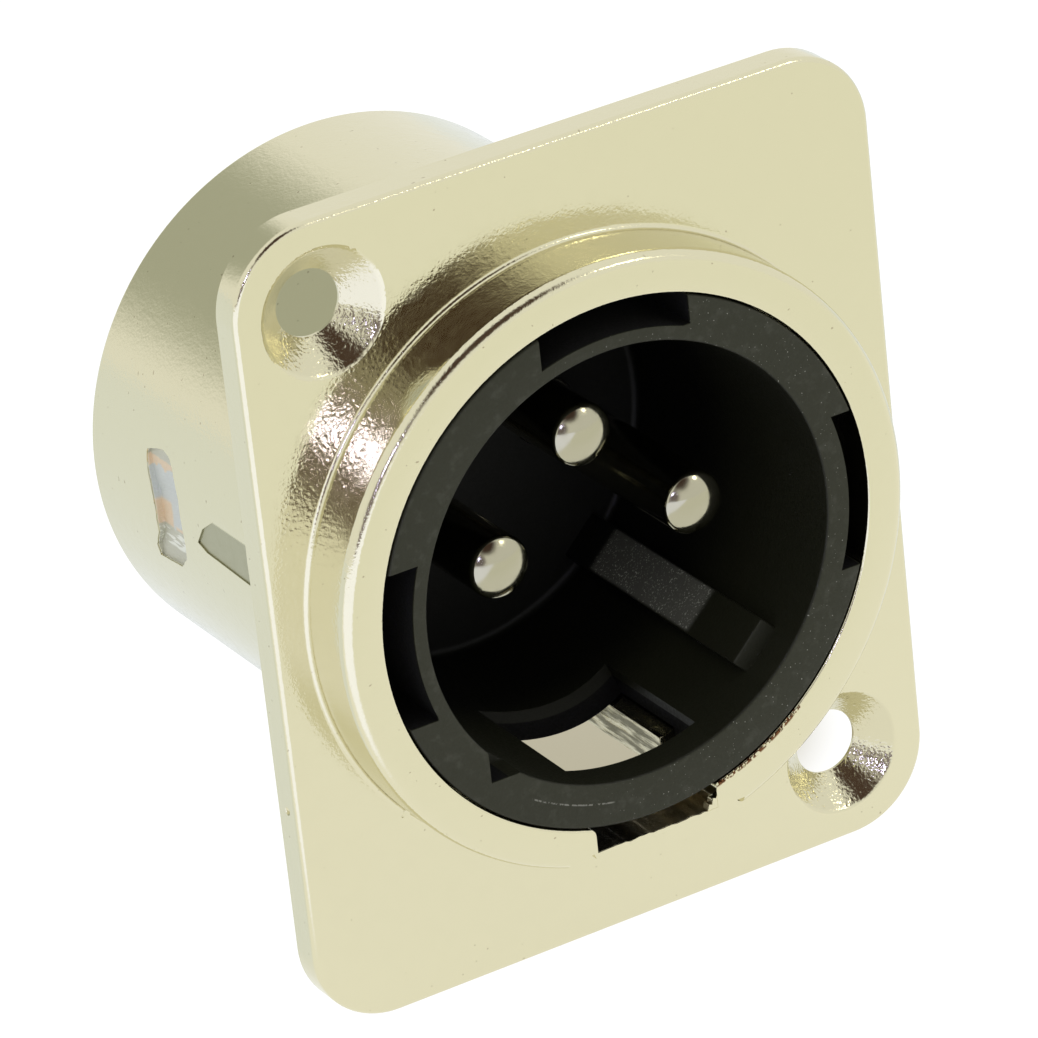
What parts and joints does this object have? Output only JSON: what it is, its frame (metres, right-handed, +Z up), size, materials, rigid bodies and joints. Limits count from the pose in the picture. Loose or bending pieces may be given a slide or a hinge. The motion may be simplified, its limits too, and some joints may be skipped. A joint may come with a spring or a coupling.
{
  "type": "xlr panel socket",
  "caption": "Three-pin male audio panel socket with a rectangular two-screw flange, a round mouth and solder cups behind.",
  "frame": {"origin": "centre of the bore on the flange's rear seating face, midway between the two screw holes", "axes": "+Y along the bore from the seating face back through the panel, -Y the mating side, +Z up with pin 3 on top, +X to the right seen from the front"},
  "size_m": [0.026, 0.0259, 0.031],
  "materials": {
    "plated_casting": "satin nickel plate on a zinc casting",
    "black_moulding": "matte glass-filled nylon",
    "plated_pin": "bright silver plate on turned brass",
    "tinned_strip": "tinned brass sheet"
  },
  "bodies": {
    "root": {"housing": "plated_casting", "insert": "black_moulding", "pin_1": "plated_pin", "pin_2": "plated_pin", "pin_3": "plated_pin", "ground_contact": "tinned_strip"}
  },
  "joints": []
}
